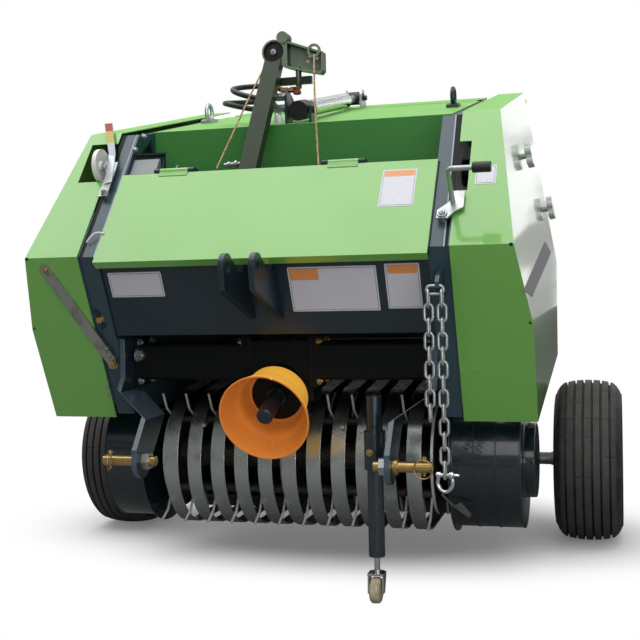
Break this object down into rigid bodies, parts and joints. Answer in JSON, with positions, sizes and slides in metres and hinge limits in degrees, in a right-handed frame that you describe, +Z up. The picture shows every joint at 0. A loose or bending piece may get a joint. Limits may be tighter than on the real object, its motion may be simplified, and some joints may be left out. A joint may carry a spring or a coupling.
{
  "type": "round baler",
  "caption": "Small mounted round baler with two wheels, jockey stand, tined pickup, roller chamber, ram-lifted tailgate and hinged twine box lid.",
  "frame": {"origin": "on the ground, at the middle of the machine's length and width", "axes": "+X to the right of someone looking at the hitch end, +Y to the rear, +Z up"},
  "size_m": [1.431, 1.304, 1.262],
  "materials": {
    "green_paint": "gloss",
    "dark_paint": "satin",
    "band_steel": "satin",
    "tyre_rubber": "matte",
    "guard_orange": "satin",
    "zinc": "satin",
    "passivated": "satin",
    "chrome": "polished",
    "cream_nylon": "satin",
    "olive_paint": "satin",
    "grey_paint": "satin",
    "black_plastic": "satin",
    "white_plastic": "satin",
    "knob_grey": "gloss",
    "hose_rubber": "satin"
  },
  "bodies": {
    "frame": {"side_frame_right": "dark_paint", "side_frame_left": "dark_paint", "cross_beam": "dark_paint", "gearbox": "dark_paint", "pto_guard": "guard_orange", "twine_box": "dark_paint", "hinge_rail": "dark_paint", "top_cover": "green_paint", "side_cover_right": "green_paint", "side_cover_left": "green_paint", "top_link_ears": "dark_paint", "hitch_plates": "dark_paint", "hitch_pins": "passivated", "stripper_bands": "band_steel", "feed_floor": "dark_paint", "pickup_housing_right": "dark_paint", "pickup_housing_left": "dark_paint", "wheel_brackets": "dark_paint", "stand_sleeve": "dark_paint", "ram_foot": "dark_paint", "mast": "olive_paint", "lifting_eyes": "zinc", "knife_box": "grey_paint", "chain": "zinc", "cover_knobs": "knob_grey", "crank": "zinc", "crank_grip": "black_plastic", "indicator": "zinc", "indicator_wheel": "white_plastic", "side_lever": "grey_paint", "mast_pulley": "black_plastic", "hose_upper": "hose_rubber", "hose_lower": "hose_rubber"},
    "drive_shaft": {"pto_shaft": "dark_paint"},
    "lid": {"lid": "green_paint"},
    "pickup": {"pickup_reel": "dark_paint"},
    "wheel_left": {"tyre_left": "tyre_rubber", "rim_left": "dark_paint"},
    "wheel_right": {"tyre_right": "tyre_rubber", "rim_right": "dark_paint"},
    "stand_leg": {"stand_leg": "dark_paint"},
    "caster_fork": {"caster_fork": "chrome"},
    "caster_wheel": {"caster_wheel": "cream_nylon"},
    "gate": {"gate_frame": "dark_paint", "gate_hood": "green_paint", "ram_bracket": "zinc", "gate_covers": "green_paint"},
    "ram_barrel": {"ram_barrel": "zinc"},
    "ram_rod": {"ram_rod": "chrome"},
    "roller_top": {"roller_top": "dark_paint"},
    "roller_upper": {"roller_upper": "dark_paint"},
    "roller_front": {"roller_front": "dark_paint"},
    "roller_lower": {"roller_lower": "dark_paint"},
    "roller_feed": {"roller_feed": "dark_paint"},
    "roller_floor": {"roller_floor": "dark_paint"},
    "roller_crown": {"roller_crown": "dark_paint"},
    "roller_high": {"roller_high": "dark_paint"},
    "roller_middle": {"roller_middle": "dark_paint"},
    "roller_low": {"roller_low": "dark_paint"},
    "roller_sill": {"roller_sill": "dark_paint"}
  },
  "joints": [
    {"name": "wheel_left_spin", "type": "hinge", "parent": "frame", "child": "wheel_left", "pos_m": [-0.633, 0.226, 0.203], "axis": [1, 0, 0], "continuous": true},
    {"name": "wheel_right_spin", "type": "hinge", "parent": "frame", "child": "wheel_right", "pos_m": [0.633, 0.226, 0.203], "axis": [1, 0, 0], "continuous": true},
    {"name": "pickup_spin", "type": "hinge", "parent": "frame", "child": "pickup", "pos_m": [0, -0.174, 0.265], "axis": [1, 0, 0], "continuous": true},
    {"name": "drive_shaft_spin", "type": "hinge", "parent": "frame", "child": "drive_shaft", "pos_m": [0, -0.399, 0.4335], "axis": [0, -0.9336, -0.3584], "continuous": true},
    {"name": "lid_hinge", "type": "hinge", "parent": "frame", "child": "lid", "pos_m": [0, -0.38291, 0.92355], "axis": [-1, 0, 0], "range_deg": [0, 110]},
    {"name": "stand_slide", "type": "slide", "parent": "frame", "child": "stand_leg", "axis": [0, 0, 1], "range_m": [0, 0.12]},
    {"name": "caster_swivel", "type": "hinge", "parent": "stand_leg", "child": "caster_fork", "pos_m": [0.214, -0.416, 0.06], "axis": [0, 0, 1], "continuous": true},
    {"name": "caster_spin", "type": "hinge", "parent": "caster_fork", "child": "caster_wheel", "pos_m": [0.214, -0.43, 0.027], "axis": [1, 0, 0], "continuous": true},
    {"name": "gate_hinge", "type": "hinge", "parent": "frame", "child": "gate", "pos_m": [0, 0.352, 1.128], "axis": [1, 0, 0], "range_deg": [0, 60]},
    {"name": "ram_tilt", "type": "hinge", "parent": "frame", "child": "ram_barrel", "pos_m": [0, -0.174, 1.073], "axis": [1, 0, 0], "range_deg": [0, 2]},
    {"name": "ram_slide", "type": "slide", "parent": "ram_barrel", "child": "ram_rod", "axis": [0, 0.9795, 0.2013], "range_m": [-0.0602, 0]},
    {"name": "roller_top_spin", "type": "hinge", "parent": "frame", "child": "roller_top", "pos_m": [0, 0.286, 1.078], "axis": [1, 0, 0], "continuous": true},
    {"name": "roller_upper_spin", "type": "hinge", "parent": "frame", "child": "roller_upper", "pos_m": [0, 0.135, 1.03754], "axis": [1, 0, 0], "continuous": true},
    {"name": "roller_front_spin", "type": "hinge", "parent": "frame", "child": "roller_front", "pos_m": [0, 0.02446, 0.927], "axis": [1, 0, 0], "continuous": true},
    {"name": "roller_lower_spin", "type": "hinge", "parent": "frame", "child": "roller_lower", "pos_m": [0, -0.016, 0.776], "axis": [1, 0, 0], "continuous": true},
    {"name": "roller_feed_spin", "type": "hinge", "parent": "frame", "child": "roller_feed", "pos_m": [0, 0.02446, 0.625], "axis": [1, 0, 0], "continuous": true},
    {"name": "roller_floor_spin", "type": "hinge", "parent": "frame", "child": "roller_floor", "pos_m": [0, 0.286, 0.474], "axis": [1, 0, 0], "continuous": true},
    {"name": "roller_crown_spin", "type": "hinge", "parent": "gate", "child": "roller_crown", "pos_m": [0, 0.437, 1.03754], "axis": [1, 0, 0], "continuous": true},
    {"name": "roller_high_spin", "type": "hinge", "parent": "gate", "child": "roller_high", "pos_m": [0, 0.54754, 0.927], "axis": [1, 0, 0], "continuous": true},
    {"name": "roller_middle_spin", "type": "hinge", "parent": "gate", "child": "roller_middle", "pos_m": [0, 0.588, 0.776], "axis": [1, 0, 0], "continuous": true},
    {"name": "roller_low_spin", "type": "hinge", "parent": "gate", "child": "roller_low", "pos_m": [0, 0.54754, 0.625], "axis": [1, 0, 0], "continuous": true},
    {"name": "roller_sill_spin", "type": "hinge", "parent": "gate", "child": "roller_sill", "pos_m": [0, 0.437, 0.51446], "axis": [1, 0, 0], "continuous": true}
  ],
  "couplings": [
    {"joint": "ram_tilt", "follows": "gate_hinge", "ratio": 0.0179},
    {"joint": "ram_slide", "follows": "gate_hinge", "m_per_rad": -0.0568}
  ]
}
